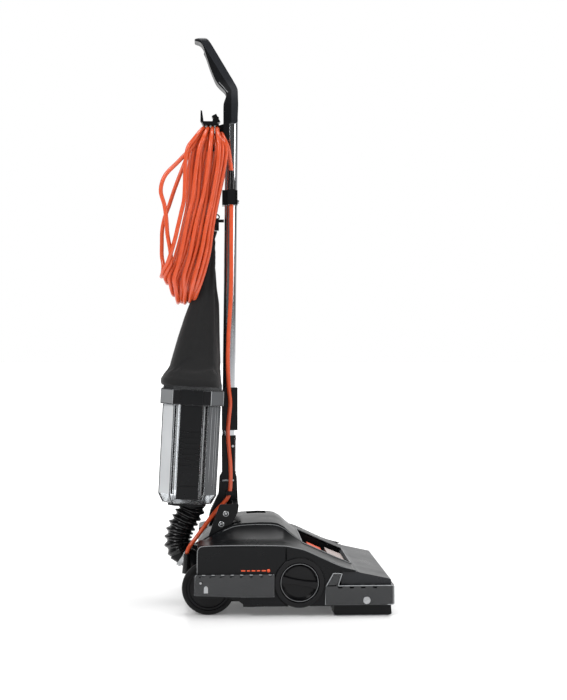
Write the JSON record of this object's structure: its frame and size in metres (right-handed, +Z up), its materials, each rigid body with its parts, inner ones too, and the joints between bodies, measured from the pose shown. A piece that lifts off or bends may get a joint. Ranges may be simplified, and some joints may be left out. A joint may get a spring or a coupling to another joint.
{
  "type": "upright vacuum cleaner",
  "caption": "Upright vacuum with a wide motor base, reclining chrome handle, clear dust cup under a cloth bag, corrugated hose and a coiled power cord.",
  "frame": {"origin": "on the floor, below the middle of the machine's box, cord left out", "axes": "+X to the nose, +Y to the side away from the selector knob, +Z up"},
  "size_m": [0.4574, 0.3848, 1.1346],
  "materials": {
    "black_shell": "fine moulded grain, satin",
    "gloss_black": "semi-gloss moulded",
    "grey_satin": "fine grain, satin",
    "clear_plastic": "clear moulded, lightly smoked",
    "smoke_plastic": "smoked translucent moulded",
    "steel": "brushed",
    "zinc": "bright zinc plate",
    "chrome_tube": "polished",
    "aluminium": "cast, satin",
    "copper_winding": "lacquered winding",
    "rubber_black": "dull",
    "tyre": "smooth tread",
    "hub_plastic": "moulded",
    "orange_pedal": "moulded",
    "cord_orange": "smooth flexible jacket",
    "bag_fabric": "close woven cloth",
    "filter_felt": "pleated felt",
    "brush_wood": "turned and sealed",
    "bristle": "stiff nylon tufts"
  },
  "bodies": {
    "base": {"chassis": "black_shell", "bottom_plate": "steel", "nozzle_housing": "black_shell", "nose_cover": "grey_satin", "motor_hood": "black_shell", "side_panel_near": "black_shell", "side_panel_far": "black_shell", "recess_tray": "black_shell", "window_lens": "clear_plastic", "rear_bumper_near": "smoke_plastic", "rear_bumper_far": "smoke_plastic", "front_bumper": "smoke_plastic", "base_screws": "zinc", "selector_port": "gloss_black", "motor_case": "aluminium", "fan_housing": "black_shell", "intake_duct": "black_shell", "exhaust_duct": "black_shell", "hose": "rubber_black", "hose_clamp": "zinc", "wheel_axle": "steel", "brush_end_caps": "rubber_black", "drive_belt": "rubber_black", "pivot_brackets": "steel", "cord_gland": "rubber_black"},
    "rotor": {"motor_rotor": "copper_winding", "suction_fan": "aluminium", "drive_pulley": "aluminium"},
    "brush": {"brush_roll": "brush_wood", "brush_bristles": "bristle"},
    "wheel_near": {"wheel_near_hub": "hub_plastic", "wheel_near_tyre": "tyre"},
    "wheel_far": {"wheel_far_hub": "hub_plastic", "wheel_far_tyre": "tyre"},
    "rollers": {"front_rollers": "rubber_black"},
    "knob": {"selector_knob": "gloss_black"},
    "foot_switch": {"foot_pedal": "orange_pedal"},
    "release": {"release_pedal": "black_shell"},
    "handle": {"handle_bail": "black_shell", "handle_bolts": "zinc", "lower_sleeve": "black_shell", "handle_tube": "chrome_tube", "cup_bracket": "black_shell", "cord_clamps": "black_shell", "cord_boot": "rubber_black", "grip_front": "grey_satin", "grip_rear": "black_shell", "cord_hook": "black_shell", "cup_ring": "smoke_plastic", "cup_shell": "clear_plastic", "cup_spine": "black_shell", "cup_cap": "black_shell", "dust_filter": "filter_felt", "bag": "bag_fabric", "bag_clip": "rubber_black", "cord_lead": "cord_orange", "cord_riser": "cord_orange", "cord_hank": "cord_orange", "cord_plug": "cord_orange"}
  },
  "joints": [
    {"name": "handle_recline", "type": "hinge", "parent": "base", "child": "handle", "pos_m": [-0.118, 0, 0.112], "axis": [0, -1, 0], "range_deg": [0, 60], "deforming": ["hose", "cord_lead"]},
    {"name": "rotor_spin", "type": "hinge", "parent": "base", "child": "rotor", "pos_m": [-0.04, 0, 0.095], "axis": [0, 1, 0], "continuous": true},
    {"name": "brush_spin", "type": "hinge", "parent": "base", "child": "brush", "pos_m": [0.168, 0, 0.026], "axis": [0, 1, 0], "continuous": true},
    {"name": "wheel_near_spin", "type": "hinge", "parent": "base", "child": "wheel_near", "pos_m": [-0.1277, 0, 0.051], "axis": [0, 1, 0], "continuous": true},
    {"name": "wheel_far_spin", "type": "hinge", "parent": "base", "child": "wheel_far", "pos_m": [-0.1277, 0, 0.051], "axis": [0, 1, 0], "continuous": true},
    {"name": "rollers_spin", "type": "hinge", "parent": "base", "child": "rollers", "pos_m": [0.061, 0, 0.03], "axis": [0, 1, 0], "continuous": true},
    {"name": "knob_turn", "type": "hinge", "parent": "base", "child": "knob", "pos_m": [0.045, 0, 0.0645], "axis": [0, -1, 0], "range_deg": [0, 90]},
    {"name": "foot_switch_press", "type": "hinge", "parent": "base", "child": "foot_switch", "pos_m": [0.084, 0.039, 0.097], "axis": [0, 1, 0], "range_deg": [0, 8], "stiffness_Nm_per_rad": 1.5, "springref_deg": -6.88},
    {"name": "release_press", "type": "hinge", "parent": "base", "child": "release", "pos_m": [-0.136, 0, 0.088], "axis": [0, -1, 0], "range_deg": [0, 15], "stiffness_Nm_per_rad": 2, "springref_deg": -6.88}
  ],
  "couplings": [
    {"joint": "rotor_spin", "follows": "brush_spin", "ratio": 1.4444}
  ]
}
